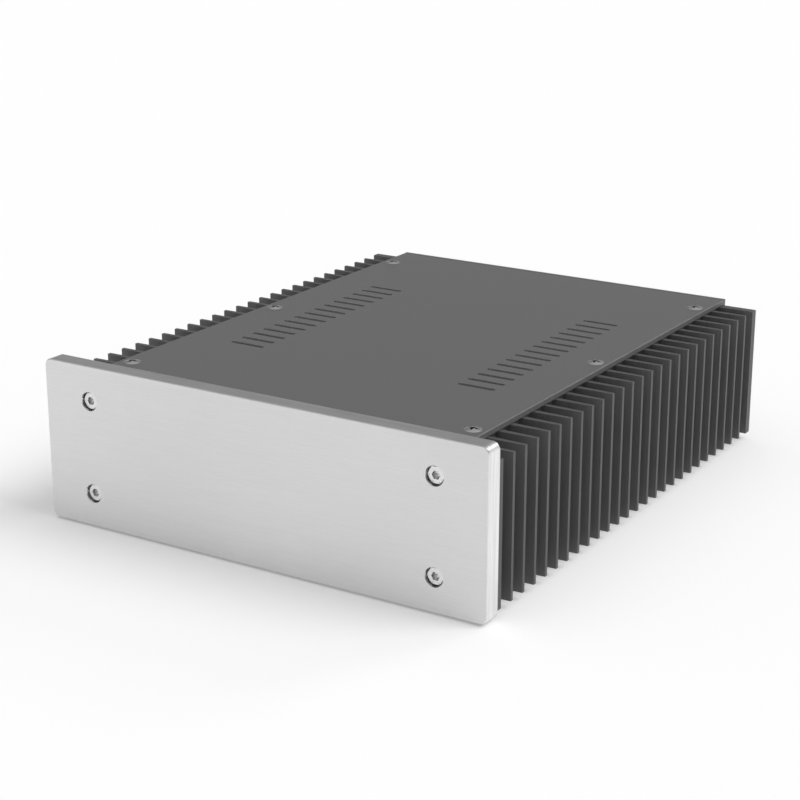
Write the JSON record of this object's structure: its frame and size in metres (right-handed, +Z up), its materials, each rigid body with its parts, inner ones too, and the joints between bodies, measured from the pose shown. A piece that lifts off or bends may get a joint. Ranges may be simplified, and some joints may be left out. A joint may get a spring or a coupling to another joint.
{
  "type": "electronics chassis",
  "caption": "Desktop electronics chassis with finned heatsinks as side walls, a thick metal front panel, a vented top cover, a bottom plate and a rear panel with a cut-out.",
  "frame": {"origin": "centre of the footprint, on the surface that the chassis stands on", "axes": "+X to the right as seen from the front, +Y from the front panel to the rear panel, +Z up"},
  "size_m": [0.2586, 0.314, 0.0865],
  "materials": {
    "front_aluminium": "brushed, clear anodised",
    "heatsink_black": "extruded, black anodised",
    "cover_black": "satin black",
    "screw_steel": "zinc plated",
    "bolt_steel": "bright plated head"
  },
  "bodies": {
    "root": {"front_panel": "front_aluminium", "left_heatsink": "heatsink_black", "right_heatsink": "heatsink_black", "top_cover": "cover_black", "bottom_plate": "cover_black", "rear_panel": "cover_black", "top_screw_left_front": "screw_steel", "bottom_screw_left_front": "screw_steel", "top_screw_left_middle": "screw_steel", "bottom_screw_left_middle": "screw_steel", "top_screw_left_rear": "screw_steel", "bottom_screw_left_rear": "screw_steel", "rear_screw_left_low": "screw_steel", "front_bolt_left_low": "bolt_steel", "rear_screw_left_high": "screw_steel", "front_bolt_left_high": "bolt_steel", "top_screw_right_front": "screw_steel", "bottom_screw_right_front": "screw_steel", "top_screw_right_middle": "screw_steel", "bottom_screw_right_middle": "screw_steel", "top_screw_right_rear": "screw_steel", "bottom_screw_right_rear": "screw_steel", "rear_screw_right_low": "screw_steel", "front_bolt_right_low": "bolt_steel", "rear_screw_right_high": "screw_steel", "front_bolt_right_high": "bolt_steel"}
  },
  "joints": []
}
